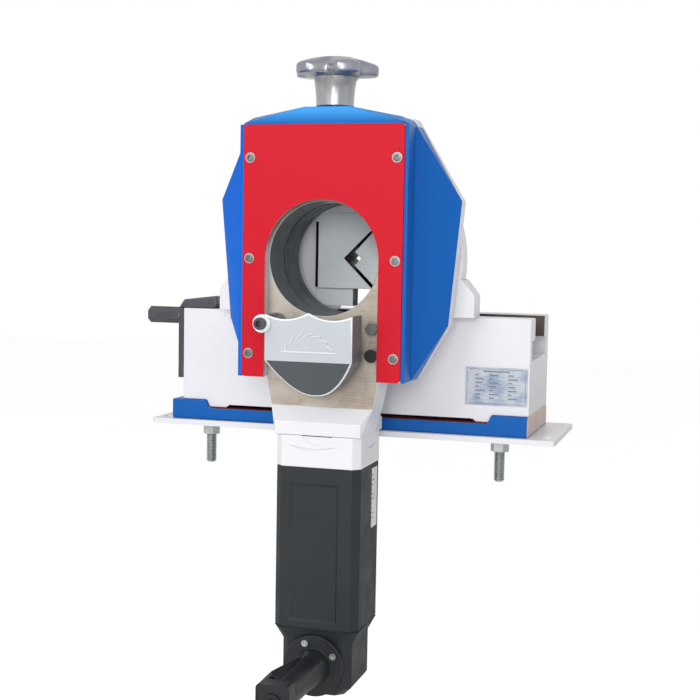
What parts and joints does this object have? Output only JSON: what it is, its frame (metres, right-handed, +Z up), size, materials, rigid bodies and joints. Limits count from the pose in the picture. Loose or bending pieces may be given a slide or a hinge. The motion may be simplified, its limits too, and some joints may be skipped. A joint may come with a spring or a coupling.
{
  "type": "orbital pipe cutting machine",
  "caption": "Orbital pipe saw: motor-driven cutting head with swinging guard that turns round a pipe held in a screw-driven twin V jaw vice, with star feed knob.",
  "frame": {"origin": "centre of the four bench holes, on the underside of the mounting plate", "axes": "+X to the operator's right, +Y away from the operator along the pipe, +Z up"},
  "size_m": [0.5108, 0.3812, 0.681],
  "materials": {
    "white_paint": "gloss enamel over casting",
    "red_paint": "gloss enamel on steel plate",
    "blue_paint": "gloss enamel",
    "cast_bed": "enamelled cast iron",
    "ground_steel": "ground, lightly stained",
    "dark_steel": "blackened",
    "bright_steel": "machined",
    "zinc_steel": "zinc plated",
    "guard_alloy": "bead blasted die casting",
    "polished_alloy": "polished",
    "motor_plastic": "fine spark texture",
    "handle_plastic": "textured",
    "button_plastic": "smooth",
    "bronze": "machined",
    "winding": "lacquered windings and laminations",
    "plate_alloy": "satin, printed rules",
    "label_film": "satin film"
  },
  "bodies": {
    "vice": {"mounting_plate": "white_paint", "foot_rail": "blue_paint", "vice_body": "cast_bed", "vice_end_plate": "dark_steel", "end_plate_screws": "bright_steel", "screw_bracket": "dark_steel", "rating_plate": "plate_alloy", "plate_rivets": "bright_steel", "mounting_studs": "zinc_steel", "stud_nuts": "zinc_steel", "stud_washers": "zinc_steel", "bearing_housing": "cast_bed", "housing_bolts": "bright_steel", "ring_bush": "bronze"},
    "vice_screw": {"vice_screw": "dark_steel"},
    "left_jaw": {"left_saddle": "cast_bed", "left_jaw": "bright_steel", "left_jaw_cap": "white_paint"},
    "right_jaw": {"right_saddle": "cast_bed", "right_jaw": "bright_steel", "right_jaw_cap": "white_paint"},
    "head": {"head_hub": "dark_steel", "hub_keeper": "dark_steel", "head_casting": "white_paint", "left_cover": "blue_paint", "right_cover": "blue_paint", "top_cover": "blue_paint", "front_plate": "red_paint", "front_plate_screws": "bright_steel"},
    "feed_slide": {"feed_slide": "ground_steel", "feed_nut": "bronze", "arbor_front_bearing": "bright_steel", "arbor_rear_bearing": "bright_steel", "guard_pivot_bolt": "dark_steel", "clamp_bolt": "dark_steel", "motor_flange": "white_paint", "motor_housing": "motor_plastic", "stator": "winding", "shaft_bearings": "bright_steel", "rear_housing": "motor_plastic", "motor_label": "label_film", "handle": "handle_plastic", "handle_screws": "bright_steel", "trigger_switch": "button_plastic", "cable_inlet": "button_plastic"},
    "feed_knob": {"feed_screw": "bright_steel", "screw_collar": "dark_steel", "star_knob": "polished_alloy", "knob_screw": "bright_steel"},
    "saw": {"saw_arbor": "bright_steel", "crown_wheel": "dark_steel", "saw_blade": "bright_steel", "blade_nut": "dark_steel"},
    "rotor": {"armature": "winding", "motor_fan": "button_plastic"},
    "guard": {"blade_guard": "guard_alloy"},
    "lock_button": {"lock_button": "button_plastic"},
    "trigger": {"trigger": "handle_plastic"}
  },
  "joints": [
    {"name": "orbit", "type": "hinge", "parent": "vice", "child": "head", "pos_m": [0, -0.091, 0.197], "axis": [0, 1, 0], "continuous": true},
    {"name": "knob_turn", "type": "hinge", "parent": "head", "child": "feed_knob", "pos_m": [0, -0.131, 0.397], "axis": [0, 0, -1], "range_deg": [-1080, 3600]},
    {"name": "feed", "type": "slide", "parent": "head", "child": "feed_slide", "axis": [0, 0, 1], "range_m": [-0.012, 0.04]},
    {"name": "rotor_spin", "type": "hinge", "parent": "feed_slide", "child": "rotor", "pos_m": [0, -0.131, -0.103], "axis": [0, 0, 1], "continuous": true},
    {"name": "saw_spin", "type": "hinge", "parent": "feed_slide", "child": "saw", "pos_m": [0, -0.151, 0.104], "axis": [0, -1, 0], "continuous": true},
    {"name": "guard_swing", "type": "hinge", "parent": "feed_slide", "child": "guard", "pos_m": [-0.05, -0.191, 0.13], "axis": [0, 1, 0], "range_deg": [0, 65]},
    {"name": "lock_press", "type": "slide", "parent": "feed_slide", "child": "lock_button", "axis": [0, 1, 0], "range_m": [0, 0.0028], "stiffness_N_per_m": 300},
    {"name": "trigger_press", "type": "hinge", "parent": "feed_slide", "child": "trigger", "pos_m": [-0.00848, -0.203, -0.22751], "axis": [0.7071, 0, 0.7071], "range_deg": [0, 4.5], "stiffness_Nm_per_rad": 1},
    {"name": "vice_screw_turn", "type": "hinge", "parent": "vice", "child": "vice_screw", "pos_m": [0, 0, 0.123], "axis": [1, 0, 0], "range_deg": [0, 4500]},
    {"name": "left_jaw_slide", "type": "slide", "parent": "vice", "child": "left_jaw", "axis": [-1, 0, 0], "range_m": [0, 0.075]},
    {"name": "right_jaw_slide", "type": "slide", "parent": "vice", "child": "right_jaw", "axis": [1, 0, 0], "range_m": [0, 0.075]}
  ],
  "couplings": [
    {"joint": "knob_turn", "follows": "feed", "rad_per_m": 1570.8},
    {"joint": "saw_spin", "follows": "rotor_spin", "ratio": 0.25},
    {"joint": "vice_screw_turn", "follows": "left_jaw_slide", "rad_per_m": 1047.2},
    {"joint": "right_jaw_slide", "follows": "left_jaw_slide", "ratio": 1}
  ]
}
